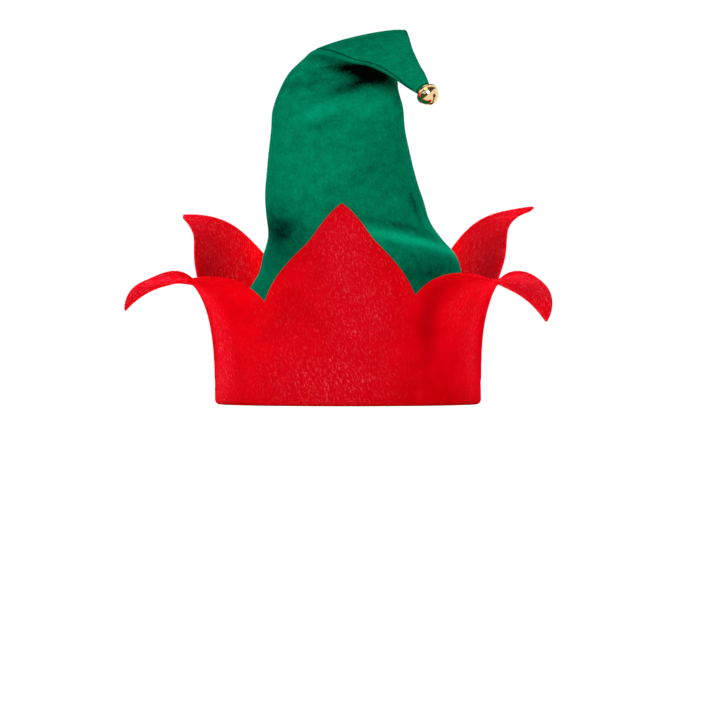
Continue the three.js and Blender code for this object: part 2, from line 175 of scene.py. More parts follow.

# Painted shade and painted highlight on the crown: patches whose colour is made darker in the pocket under
# the flap, the dents and the creases, and lighter on the ridges. at, angle, along and round are as for the
# folds.
# slant is the shift of angle for each section upwards, and tone runs from -1, darkest, to 1, lightest.
CROWN_PAINTED_SHADING = table(
    ["at", "angle", "along", "round", "slant", "tone"],
    {
        "pocket_under_flap": [12.75, 300, 0.5, 16, -52, -1.25],
        "pocket_floor": [12.25, 296, 0.25, 18, 0, -0.35],
        "pocket_left_end": [13.2, 256, 0.35, 22, 0, -0.3],
        "crease_from_pocket": [12, 278, 0.35, 13, 40, -0.5],
        "left_crease": [12.4, 225, 0.22, 24, 0, -0.35],
        "bulge_by_fold": [11.5, 240, 0.5, 20, 0, 0.15],
        "diagonal_ridge": [10.7, 256, 0.45, 10, 30, 0.35],
        "under_diagonal_ridge": [10.3, 262, 0.45, 9, 30, -0.2],
        "light_patch_right": [11, 296, 0.4, 13, 20, 0.3],
        "right_edge": [9.5, 328, 1.5, 13, 0, -0.1],
        "right_middle": [8.2, 303, 1.4, 16, 0, -0.12],
        "middle_crease": [7.7, 278, 0.9, 10, 23, -0.12],
        "left_side": [8.6, 238, 1.2, 18, 0, 0.05],
        "left_low_dent": [5.3, 208, 0.75, 20, 0, -0.85],
        "left_low_foot": [3.9, 226, 0.5, 12, 0, -0.2],
        "right_valley": [3, 312, 0.5, 16, 0, -0.45],
        "shoulder_ridge": [4.5, 323, 0.6, 13, -52, 1.2],
        "over_shoulder_ridge": [5.6, 306, 0.4, 11, -40, -0.35],
        "right_seam_pleat": [6.75, 331, 0.45, 4, 0, -0.55],
        "flap_edge": [16.5, 110, 1.2, 30, 0, -0.1],
        "back_left_fold": [6.3, 128, 0.8, 22, 20, -0.3],
        "back_middle_ridge": [8, 92, 1, 18, -20, 0.15],
        "back_right_fold": [9.6, 60, 0.9, 20, -20, -0.25],
    },
)

# Painted highlights on the cuff: patches where pale glints are painted on its fibres, and painted shade where
# the strength is below 0. place counts petals round the cuff from the front petal's middle to the right,
# height is in millimetres along the felt, wide and tall are the patch's half sizes, and the last column,
# gloss, is the strength of the painted highlight, below 0 where the felt is painted darker as shade.
CUFF_PAINTED_GLOSS = table(
    ["place", "height", "wide", "tall", "gloss"],
    {
        "front_band": [0.06, 62, 0.12, 34, 0.45],
        "front_foot": [-0.05, 12, 0.3, 12, 0.6],
        "front_left_strokes": [-0.35, 45, 0.2, 30, 0.2],
        "front_right_strokes": [0.3, 60, 0.12, 20, 0.35],
        "front_petal": [0.02, 112, 0.2, 20, 0.45],
        "left_edge": [-1, 40, 0.13, 34, 0.6],
        "left_foot": [-1.1, 8, 0.1, 10, 0.4],
        "right_edge": [1.1, 40, 0.12, 34, 0.5],
        "right_fold": [0.8, 62, 0.1, 14, 0.5],
        "left_front_tip": [-1, 118, 0.35, 22, 0.4],
        "right_front_tip": [1, 116, 0.35, 22, 0.5],
        "right_back_petal": [2, 104, 0.5, 40, 0.45],
        "left_back_petal": [4, 104, 0.5, 40, 0.5],
        "right_valley_shade": [0.6, 58, 0.05, 22, -0.5],
        "left_flank_shade": [-1.28, 55, 0.1, 26, -0.5],
        "right_flank_shade": [1.32, 55, 0.1, 26, -0.4],
        "right_front_shade": [0.85, 60, 0.2, 40, -0.2],
        "left_front_shade": [-0.75, 70, 0.14, 20, -0.15],
        "right_back_band": [2.1, 40, 0.14, 34, 0.7],
        "back_band": [3, 50, 0.16, 34, 0.8],
        "left_back_band": [3.95, 40, 0.14, 34, 0.7],
    },
)

# The six petals, from the front one round to the right. cut is a share of PETAL_HEIGHT, and notch, for the
# valley after the petal, of VALLEY_HEIGHT. round is a share of PETAL_CURVE, hug says how far the felt follows
# the crown inwards, swing how many degrees its bend turns to the right, skew how much earlier it bends at its
# right edge than in its middle, and twist how much more it leans there.
PETALS = table(
    ["cut", "notch", "round", "hug", "swing", "skew", "twist"],
    {
        "front": [1, 1.04, 1.05, 0.93, 0, 0, 0],
        "right_front": [1, 1, 1, 0, -4, -0.06, 0.15],
        "right_back": [1.09, 1, 1, 0, -10, 0, -0.15],
        "back": [1, 1.15, 1, 0.78, 0, 0, 0],
        "left_back": [1.02, 1, 1, 0, 10, 0.02, 0.2],
        "left_front": [1, 0.98, 1, 0, 10, 0.09, -0.2],
    },
)

# Degrees that each petal leans out from vertical along the felt. height is a share of PETAL_HEIGHT.
PETAL_LEANS = table(
    ["height"] + [petal["name"] for petal in PETALS],
    {
        "rim": [0, 0, 0, 0, 0, 0, 0],
        "low": [0.22, 0, 2, 2, 0, 4, 5],
        "waist": [0.36, 0, 12, 8, 0, 9, 15],
        "valley": [0.5, 0, 31, 14, 2, 13, 34],
        "bend": [0.64, 0, 80, 11, 4, 10, 82],
        "curl": [0.8, 0, 118, 20, 6, 23, 102],
        "tip": [1, 0, 182, 74, 10, 80, 158],
    },
)

# Outline of the bell from its lowest point to its top. radius is a share of BELL_RADIUS, height of
# BELL_BOTTOM_DROP below the flange and of BELL_TOP_RISE above it.
BELL_OUTLINE = table(
    ["radius", "height"],
    {
        "pole": [0, -1],
        "low_dome": [0.36, -0.93],
        "dome": [0.64, -0.74],
        "high_dome": [0.83, -0.46],
        "shoulder": [0.88, -0.22],
        "groove": [0.86, -0.1],
        "flange_under": [0.99, -0.06],
        "flange_over": [0.99, 0.08],
        "top_edge": [0.86, 0.14],
        "top_side": [0.76, 0.5],
        "top_dome": [0.48, 0.86],
        "top": [0, 1],
    },
)


def smooth_between(values, position):
    """A value read between numbered rows, along a smooth curve through them."""
    last = len(values) - 1
    at = min(max(position, 0), last)
    i = min(int(at), last - 1)
    t = at - i
    before, start, to, after = (values[min(max(k, 0), last)] for k in (i - 1, i, i + 1, i + 2))
    leave = (to - before) / 2
    arrive = (after - start) / 2
    rise = to - start
    return start + t * leave + t * t * (3 * rise - 2 * leave - arrive) + t**3 * (leave + arrive - 2 * rise)


def columns_of(rows):
    """A table turned into one list of values for each named column."""
    return {key: [row[key] for row in rows] for key in rows[0] if key != "name"}


SECTION = columns_of(CROWN_SECTIONS)
LEAN = columns_of(PETAL_LEANS)


def place_in(values, value):
    """The place in a growing list of values where it has a value."""
    above = next((k for k, v in enumerate(values) if v >= value), len(values) - 1)
    k = max(1, above)
    return k - 1 + (value - values[k - 1]) / (values[k] - values[k - 1])


def crown_section(position):
    """Centre, axes, half sizes and seam angles of the crown's section at a position in the table."""
    read = {key: smooth_between(values, position) for key, values in SECTION.items()}
    roll = math.radians(read["roll"])
    pitch = math.radians(read["pitch"])
    spine_up = Vector((-math.sin(roll), 0, math.cos(roll)))
    back = Vector((0, 1, 0))
    centre = (read["x"] * CROWN_HALF_WIDTH, read["y"] * CROWN_HALF_DEPTH, read["z"] * CROWN_HEIGHT)
    return {
        "centre": Vector(centre),
        "wide_axis": Vector((math.cos(roll), 0, math.sin(roll))),
        "deep_axis": back * math.cos(pitch) + spine_up * math.sin(pitch),
        "spine": spine_up * math.cos(pitch) - back * math.sin(pitch),
        "half_wide": read["wide"] * CROWN_HALF_WIDTH,
        "half_deep": read["deep"] * CROWN_HALF_DEPTH,
        "right_seam": math.radians(read["right_seam"]),
        "left_seam": math.radians(read["left_seam"]),
    }


def fold_depth(position, angle):
    """How far the crown's surface is pressed in at a place."""
    depth = 0
    for fold in CROWN_FOLDS:
        along = (position - fold["at"]) / fold["along"]
        turn = math.degrees(angle) - fold["angle"]
        around = (turn - 360 * round(turn / 360)) / fold["round"]
        depth += fold["depth"] * CROWN_HALF_DEPTH * math.exp(-(along * along + around * around) / 2)
    return depth


def crown_painted_shading(position, angle):
    """How much painted highlight or painted shade the crown's colour has at a place."""
    tone = 0
    for patch in CROWN_PAINTED_SHADING:
        above = position - patch["at"]
        along = above / patch["along"]
        turn = math.degrees(angle) - patch["angle"] - patch["slant"] * above
        around = (turn - 360 * round(turn / 360)) / patch["round"]
        tone += patch["tone"] * math.exp(-(along * along + around * around) / 2)
    return tone


def cuff_painted_gloss(place, height):
    """How much painted highlight, or below 0 painted shade, the cuff's colour has at a place."""
    gloss = 0
    for patch in CUFF_PAINTED_GLOSS:
        turn = place - patch["place"]
        across = (turn - len(PETALS) * round(turn / len(PETALS))) / patch["wide"]
        up = (height - patch["height"]) / patch["tall"]
        gloss += patch["gloss"] * math.exp(-(across * across + up * up) / 2)
    return gloss


def crown_point(section, position, angle, inset):
    """A point of the crown at an angle round a section, in millimetres."""
    pressed = inset + fold_depth(position, angle)
    return (
        section["centre"]
        + section["wide_axis"] * (section["half_wide"] - pressed) * math.cos(angle)
        + section["deep_axis"] * (section["half_deep"] - pressed) * math.sin(angle)
    )


def seam_profile(roll, allowance, steps=4):
    """How the felt turns in at a seam, as (distance from the seam line, depth) from its raw edge outwards."""
    raw_edge = [(0, roll + allowance), (0, roll + allowance / 2)]
    turn = [math.pi / 2 * (1 - k / steps) for k in range(steps + 1)]
    return raw_edge + [(roll * (1 - math.sin(a)), roll * (1 - math.cos(a))) for a in turn]


def grid_mesh(columns, rows, place):
    """A sheet of faces with a uv map in metres and its painted light and shade, kept in the nap attribute.
    place gives its corner (i, j).
    """
    bm = bmesh.new()
    bmesh.ops.create_grid(bm, x_segments=columns, y_segments=rows, size=0.5)
    uv = bm.loops.layers.uv.new("felt")
    # the nap attribute carries painted shade and painted highlight
    nap = bm.verts.layers.float.new("nap")
    flat = {}
    for vert in bm.verts:
        i = round((vert.co.x + 0.5) * columns)
        j = round((vert.co.y + 0.5) * rows)
        point, flat[vert], vert[nap] = place(i, j)
        vert.co = point * MM
    for face in bm.faces:
        for loop in face.loops:
            loop[uv].uv = [value * MM for value in flat[loop.vert]]
    return bm


def finish_piece(name, bm, material, nodes):
    """Makes an object of a mesh. Its columns go round to the right and its rows up, so it faces outwards."""
    bm.normal_update()
    for face in bm.faces:
        face.smooth = True
    mesh = bpy.data.meshes.new(name)
    bm.to_mesh(mesh)
    bm.free()
    piece = bpy.data.objects.new(name, mesh)
    bpy.context.scene.collection.objects.link(piece)
    piece.data.materials.append(material)
    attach(piece, "root")
    if nodes:
        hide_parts(*nodes)
    return piece


def thicken(piece, thickness, edge):
    """Gives a sheet of felt its thickness, inwards, and slightly rounded cut edges."""
    wall = piece.modifiers.new("felt thickness", "SOLIDIFY")
    wall.thickness = thickness * MM
    wall.offset = -1
    wall.use_quality_normals = True
    round_edge = piece.modifiers.new("soft cut edge", "BEVEL")
    round_edge.width = edge * MM
    round_edge.segments = 2
    round_edge.limit_method = "ANGLE"
    round_edge.angle_limit = EDGE_ANGLE


def crown_panel(name, is_front, material):
    """One panel of the crown between its seams, turned in along both of them."""
    rings = TIP * CROWN_RINGS_PER_SECTION
    sections = [crown_section(TIP * k / rings) for k in range(rings + 1)]
    lengths = [0]
    for below, above in zip(sections, sections[1:]):
        lengths.append(lengths[-1] + (above["centre"] - below["centre"]).length)
    turn_in = len(seam_profile(1, 1))

    def place(i, k):
        section = sections[k]
        position = TIP * k / rings
        start = section["left_seam"] if is_front else section["right_seam"]
        end = section["right_seam"] + 2 * math.pi if is_front else section["left_seam"]
        roll = min(SEAM_ROLL, SEAM_ROLL_SHARE * section["half_deep"])
        allowance = min(SEAM_ALLOWANCE, SEAM_ALLOWANCE_SHARE * section["half_deep"])
        profile = seam_profile(roll, allowance)

        def seam_step(angle, length):
            wide = section["half_wide"] * math.sin(angle)
            deep = section["half_deep"] * math.cos(angle)
            return length / math.hypot(wide, deep)

        from_start = min(i, CROWN_COLUMNS - i)
        depth = 0
        if from_start < turn_in:
            distance, depth = profile[from_start]
            seam = start if i == from_start else end
            step = seam_step(seam, distance + FELT_GAP / 2)
            angle = start + step if i == from_start else end - step
        else:
            first = start + seam_step(start, roll + FELT_GAP / 2)
            last = end - seam_step(end, roll + FELT_GAP / 2)
            share = (i - turn_in + 1) / (CROWN_COLUMNS - 2 * turn_in + 2)
            angle = first + (last - first) * share
        round_way = (angle - (start + end) / 2) * (section["half_wide"] + section["half_deep"]) / 2
        # painted shade and highlight from the crown's table, plus painted shade where the felt turns into a
        # seam
        tone = crown_painted_shading(position, angle) - SEAM_SHADE * depth / SEAM_ROLL
        return crown_point(section, position, angle, depth), (round_way, lengths[k]), tone

    bm = grid_mesh(CROWN_COLUMNS, rings, place)
    piece = finish_piece(name, bm, material, [name.replace("_felt", "")])
    thicken(piece, CROWN_FELT, CUT_EDGE)
    return piece


def petal_lean(petal, height, across):
    """The lean of a petal at a height along the felt and a place across it, in degrees."""
    place = place_in(LEAN["height"], height + petal["skew"] * across)
    return (1 + petal["twist"] * across) * smooth_between(LEAN[petal["name"]], place)


def across_petals(place, value_of):
    """A value of the petals read at a place round the cuff, where whole numbers are petal middles."""
    k = math.floor(place)
    t = min(max((place - k - 0.5) / PETAL_BLEND + 0.5, 0), 1)
    mix = t * t * (3 - 2 * t)
    across = 2 * (place - k)
    here = value_of(PETALS[k % len(PETALS)], min(across, 1)) if mix < 1 else 0
    after = value_of(PETALS[(k + 1) % len(PETALS)], max(across - 2, -1)) if mix > 0 else 0
    return here * (1 - mix) + after * mix


def crown_shift(angle, height):
    """How far the crown stands in from the rim at a height, for the felt that hugs it."""
    place = place_in(SECTION["z"], height / CROWN_HEIGHT)
    wide = -HUG_NARROWING * (height / CROWN_HEIGHT) ** HUG_CURVE
    deep = 1 - smooth_between(SECTION["deep"], place)
    return Vector((wide * math.sin(angle) * CROWN_HALF_WIDTH, deep * math.cos(angle) * CROWN_HALF_DEPTH, 0))


def rim_angles(count, start):
    """Angles round the rim at equal steps of its length, from a place round it, front towards right."""
    fine = 720
    step = 2 * math.pi / fine
    lengths = [0]
    for k in range(fine):
        angle = (k + 0.5) * step
        speed = math.hypot(RIM_HALF_WIDTH * math.cos(angle), RIM_HALF_DEPTH * math.sin(angle))
        lengths.append(lengths[-1] + speed * step)
    angles = []
    for j in range(count + 1):
        turns, rest = divmod(start + j / count, 1)
        place = place_in(lengths, rest * lengths[-1])
        angles.append((place / fine + turns) * 2 * math.pi + CUFF_TURN)
    return angles, lengths[-1]


def cut_height(place):
    """The cut height of the cuff: petal tips at whole numbers, valleys half way between."""
    petal = PETALS[round(place) % len(PETALS)]
    valley = PETALS[math.floor(place) % len(PETALS)]["notch"] * VALLEY_HEIGHT
    across = abs(place - round(place)) * 2
    drop = PETAL_POINT * across + (1 - PETAL_POINT) * across ** (PETAL_CURVE * petal["round"])
    return valley + (petal["cut"] * PETAL_HEIGHT - valley) * (1 - drop)


def cuff_walk(place, rim_angle):
    """Walks one column of the cuff up its felt: how far out it is and how high after each lean step."""
    hug = across_petals(place, lambda petal, across: petal["hug"])
    step = PETAL_HEIGHT * LEAN_REACH / LEAN_STEPS
    walked = [(0, 0)]
    for k in range(LEAN_STEPS):
        out, height = walked[-1]
        share = (k + 0.5) * step / PETAL_HEIGHT
        lean = math.radians(across_petals(place, lambda petal, across: petal_lean(petal, share, across)))
        slope = (crown_shift(rim_angle, height + step) - crown_shift(rim_angle, height)).length / step
        rise = math.cos(lean) * step / math.hypot(1, hug * slope)
        walked.append((out + math.sin(lean) * step, height + rise))
    return walked, step


def petal_cuff(material):
    """The cuff: one strip of felt round the crown, its top cut into petals and its lower edge turned in."""
    count = len(PETALS) * CUFF_COLUMNS_PER_PETAL
    angles, around = rim_angles(count, CUFF_SEAM_PLACE / len(PETALS))
    petal_angle = 2 * math.pi / len(PETALS)
    level_top = PLAIN_SHARE * VALLEY_HEIGHT
    walks = {}

    def column(i):
        place = CUFF_SEAM_PLACE + i / CUFF_COLUMNS_PER_PETAL
        angle = angles[i]
        fan = (1 - FAN_SHARE) * petal_angle * math.sin(place * 2 * math.pi) / (2 * math.pi)
        normal = math.atan2(math.sin(angle) / RIM_HALF_WIDTH, math.cos(angle) / RIM_HALF_DEPTH)
        swing = math.radians(across_petals(place, lambda petal, across: petal["swing"]))
        bearing = normal - fan + swing
        outward = Vector((math.sin(bearing), -math.cos(bearing), 0))
        rim = Vector((RIM_HALF_WIDTH * math.sin(angle), -RIM_HALF_DEPTH * math.cos(angle), 0))
        square = Vector((math.sin(normal), -math.cos(normal), 0))
        hug = across_petals(place, lambda petal, across: petal["hug"])
        return place, angle, outward, square, rim, hug, cuff_walk(place, angle)

    def place_of(i, j):
        if i not in walks:
            walks[i] = column(i)
        place, angle, outward, square, rim, hug, (walked, step) = walks[i]
        row = j - CUFF_ROLL_ROWS
        if row < 0:
            turn = math.pi / 2 * min(-row / (CUFF_ROLL_ROWS - RIM_FLAT_ROWS), 1)
            past_roll = max(0, -row - CUFF_ROLL_ROWS + RIM_FLAT_ROWS)
            inward = RIM_ROLL * (1 - math.cos(turn)) + past_roll * RIM_TURN_IN
            height = RIM_ROLL * (1 - math.sin(turn))
            flat = (around * i / count, -RIM_ROLL * turn)
            # the third value is the painted highlight or painted shade stored on the felt
            return rim - square * inward + UP * height, flat, cuff_painted_gloss(place, 0)
        plain = min(row / CUFF_PLAIN_ROWS, 1)
        share = max(0, row - CUFF_PLAIN_ROWS) / CUFF_PETAL_ROWS
        height = RIM_ROLL + (level_top - RIM_ROLL) * plain + (cut_height(place) - level_top) * share
        at = height / step
        k = min(int(at), len(walked) - 2)
        out, up = (a + (b - a) * (at - k) for a, b in zip(walked[k], walked[k + 1]))
        point = rim + crown_shift(angle, up) * hug + outward * out + UP * up
        return point, (around * i / count, height), cuff_painted_gloss(place, height)

    rows = CUFF_ROLL_ROWS + CUFF_PLAIN_ROWS + CUFF_PETAL_ROWS
    bm = grid_mesh(count, rows, place_of)
    bmesh.ops.remove_doubles(bm, verts=bm.verts, dist=1e-6)
    piece = finish_piece("petal_cuff_felt", bm, material, ["petal_cuff"])
    thicken(piece, CUFF_FELT, CUFF_CUT_EDGE)
    return piece


def new_material(name):
    """An empty node material and its Principled shader."""
    material = bpy.data.materials.new(name)
    material.use_nodes = True
    return material, material.node_tree, material.node_tree.nodes["Principled BSDF"]


def add_node(tree, kind, inputs=(), **settings):
    """Adds a node, sets it up, and fills its inputs with numbers or with other nodes' outputs."""
    node = tree.nodes.new(kind)
    for key, value in settings.items():
        setattr(node, key, value)
    for key, value in dict(inputs).items():
        if isinstance(value, bpy.types.NodeSocket):
            tree.links.new(value, node.inputs[key])
        else:
            node.inputs[key].default_value = value
    return node


def ramp(tree, value, low, high):
    """0 below one value, 1 above another, and smooth between."""
    inputs = {"Value": value, "From Min": low, "From Max": high}
    return add_node(tree, "ShaderNodeMapRange", inputs, interpolation_type="SMOOTHSTEP").outputs["Result"]


def soft_noise(tree, vector, scale, detail=2, roughness=0.5):
    """Soft noise on a vector, with a feature size of 1 / scale metres."""
    inputs = {"Vector": vector, "Scale": scale, "Detail": detail, "Roughness": roughness}
    return add_node(tree, "ShaderNodeTexNoise", inputs).outputs["Fac"]


def mix_colour(tree, share, first, second):
    """A colour between two, which may be colours or sockets."""
    node = add_node(tree, "ShaderNodeMix", {"Factor": share}, data_type="RGBA")
    for socket, value in ((node.inputs[6], first), (node.inputs[7], second)):
        if isinstance(value, bpy.types.NodeSocket):
            tree.links.new(value, socket)
        else:
            socket.default_value = value
    return node.outputs[2]


def maths(tree, operation, first, second=0.0, clamp=False):
    """One arithmetic step."""
    node = add_node(tree, "ShaderNodeMath", {0: first, 1: second}, operation=operation, use_clamp=clamp)
    return node.outputs[0]


def fibres(tree, uv, turn, across, along, low, high):
    """Short fibres that lie one way on the felt: 1 on a fibre, 0 between. Sizes are in millimetres."""
    bend = add_node(tree, "ShaderNodeTexNoise", {"Vector": uv, "Scale": FIBRE_BEND_SCALE, "Detail": 1})
    inputs = {0: bend.outputs["Color"], 1: (FIBRE_BEND,) * 3}
    offset = add_node(tree, "ShaderNodeVectorMath", inputs, operation="MULTIPLY")
    moved = add_node(tree, "ShaderNodeVectorMath", {0: uv, 1: offset.outputs[0]}, operation="ADD")
    turned = add_node(tree, "ShaderNodeMapping", {"Vector": moved.outputs[0], "Rotation": (0, 0, turn)})
    stretch = (1 / (along * MM), 1 / (across * MM), 1)
    scaled = add_node(tree, "ShaderNodeVectorMath", {0: turned.outputs[0], 1: stretch}, operation="MULTIPLY")
    return ramp(tree, soft_noise(tree, scaled.outputs[0], 1, 2, 0.6), low, high)


def painted_light_of(tree):
    """The painted light and shade stored on the felt as its nap attribute: painted shade and highlight on the
    crown, painted glints and shade on the cuff.
    """
    return add_node(tree, "ShaderNodeAttribute", attribute_name="nap").outputs["Fac"]


def red_felt():
    """Brushed red craft felt: a dense matt body, with pale glints painted on its fibres as highlights and
    painted shade where the stored value is below 0.
    """
    material, tree, shader = new_material("red felt")
    uv = add_node(tree, "ShaderNodeUVMap", uv_map="felt").outputs["UV"]
    lying = fibres(tree, uv, 1.25, 1, 4, 0.55, 0.73)
    crossing = fibres(tree, uv, 0.7, 1, 3.4, 0.57, 0.75)
    steep = fibres(tree, uv, 1.8, 1, 3.6, 0.57, 0.75)
    patches = soft_noise(tree, uv, 45, 3, 0.6)
    clumps = soft_noise(tree, uv, 160, 3, 0.6)
    grain = soft_noise(tree, uv, 1300, 2, 0.6)
    strands = maths(tree, "MAXIMUM", maths(tree, "MAXIMUM", lying, crossing), steep)
    base = mix_colour(tree, ramp(tree, patches, 0.3, 0.7), (0.66, 0.0003, 0.005, 1), (0.78, 0.0005, 0.007, 1))
    nap = painted_light_of(tree)
    # painted highlight strength: the stored painted highlight plus a little random clumping of the fibres
    gloss = maths(tree, "ADD", nap, maths(tree, "MULTIPLY", ramp(tree, clumps, 0.45, 0.7), 0.2))
    # pale strokes painted on the fibres where they would catch the light
    painted_glints = maths(tree, "MULTIPLY", strands, gloss, clamp=True)
    # painted shade below 0 darkens the red towards (0.28, 0.0001, 0.003), and painted highlight lightens it
    # towards (0.74, 0.0008, 0.01)
    painted_shade_share = maths(tree, "MULTIPLY", nap, -1.0, clamp=True)
    with_painted_light = mix_colour(tree, ramp(tree, nap, 0.15, 0.5), base, (0.74, 0.0008, 0.01, 1))
    body = mix_colour(tree, painted_shade_share, with_painted_light, (0.28, 0.0001, 0.003, 1))
    # pale pink (1, 0.12, 0.12) painted on the fibres as glints of light
    lit = mix_colour(tree, painted_glints, body, (1, 0.12, 0.12, 1))
    tree.links.new(lit, shader.inputs["Base Color"])
    height = maths(tree, "ADD", strands, maths(tree, "MULTIPLY", grain, 0.5))
    pile = add_node(tree, "ShaderNodeBump", {"Height": height, "Strength": 0.5, "Distance": 0.0005})
    tree.links.new(pile.outputs["Normal"], shader.inputs["Normal"])
    shader.inputs["Roughness"].default_value = 0.9
    shader.inputs["Specular IOR Level"].default_value = 0
    shader.inputs["Subsurface Weight"].default_value = 0.8
    shader.inputs["Subsurface Radius"].default_value = (1, 0.03, 0.05)
    shader.inputs["Subsurface Scale"].default_value = 0.003
    return material


def green_felt():
    """Brushed green felt with a velvet nap: soft lighter and darker patches at random, painted shade and
    painted highlight from the crown's stored values, and a fine grain.
    """
    material, tree, shader = new_material("green felt")
    uv = add_node(tree, "ShaderNodeUVMap", uv_map="felt").outputs["UV"]
    clouds = soft_noise(tree, uv, 140, 4, 0.65)
    nap = fibres(tree, uv, 1.2, 1.3, 3.5, 0.45, 0.7)
    grain = soft_noise(tree, uv, 700, 2, 0.7)
    mottle = maths(tree, "MULTIPLY", maths(tree, "SUBTRACT", clouds, 0.5), 1.0)
    streaks = maths(tree, "MULTIPLY", maths(tree, "SUBTRACT", nap, 0.4), 0.14)
    speckle = maths(tree, "MULTIPLY", maths(tree, "SUBTRACT", grain, 0.5), 0.8)
    detail = maths(tree, "ADD", maths(tree, "ADD", mottle, streaks), speckle)
    # painted shade and painted highlight stored on the crown, plus random mottling, streaks and speckle, set
    # how dark or light the green is
    tone = maths(tree, "MULTIPLY", maths(tree, "ADD", painted_light_of(tree), detail), 0.5)
    share = maths(tree, "ADD", tone, 0.46, clamp=True)
    lit = mix_colour(tree, share, (0.0001, 0.004, 0.002, 1), (0.0012, 0.46, 0.225, 1))
    tree.links.new(lit, shader.inputs["Base Color"])
    height = maths(tree, "ADD", maths(tree, "MULTIPLY", nap, 0.5), grain)
    bump = add_node(tree, "ShaderNodeBump", {"Height": height, "Strength": 0.7, "Distance": 0.0005})
    tree.links.new(bump.outputs["Normal"], shader.inputs["Normal"])
    shader.inputs["Roughness"].default_value = 0.9
    shader.inputs["Specular IOR Level"].default_value = 0
    shader.inputs["Sheen Weight"].default_value = 0.15
    shader.inputs["Sheen Roughness"].default_value = 0.35
    shader.inputs["Sheen Tint"].default_value = (0, 1, 0.6, 1)
    return material


def polished_gold():
    """Bright gold plating with faint handling marks."""
    material, tree, shader = new_material("polished gold plate")
    place = add_node(tree, "ShaderNodeTexCoord").outputs["Object"]
    marks = soft_noise(tree, place, 900, 3, 0.6)
    tone = mix_colour(tree, ramp(tree, marks, 0.3, 0.7), (0.83, 0.6, 0.3, 1), (0.9, 0.68, 0.38, 1))
    tree.links.new(tone, shader.inputs["Base Color"])
    rough = add_node(tree, "ShaderNodeMapRange", {"Value": marks, "To Min": 0.06, "To Max": 0.13})
    tree.links.new(rough.outputs["Result"], shader.inputs["Roughness"])
    shader.inputs["Metallic"].default_value = 1
    return material


def plain_steel():
    """Dull steel of the loose pellet."""
    material, tree, shader = new_material("dull pellet steel")
    place = add_node(tree, "ShaderNodeTexCoord").outputs["Object"]
    marks = soft_noise(tree, place, 1500, 3, 0.6)
    tone = mix_colour(tree, marks, (0.26, 0.25, 0.24, 1), (0.4, 0.4, 0.39, 1))
    tree.links.new(tone, shader.inputs["Base Color"])
    shader.inputs["Metallic"].default_value = 1
    shader.inputs["Roughness"].default_value = 0.4
    return material


def bell_frame():
    """Places the bell's own axes, in millimetres with its top up along +Z, in line with the crown's tip."""
    tip = crown_section(TIP)
    axis = -tip["spine"]
    sideways = axis.cross(tip["wide_axis"])
    turn = Matrix((tip["wide_axis"], sideways, axis)).transposed()
    middle = tip["centre"] + tip["spine"] * (BELL_TOP_RISE + FELT_GAP)
    return Matrix.Translation(middle * MM) @ turn.to_4x4() @ Matrix.Scale(MM, 4)


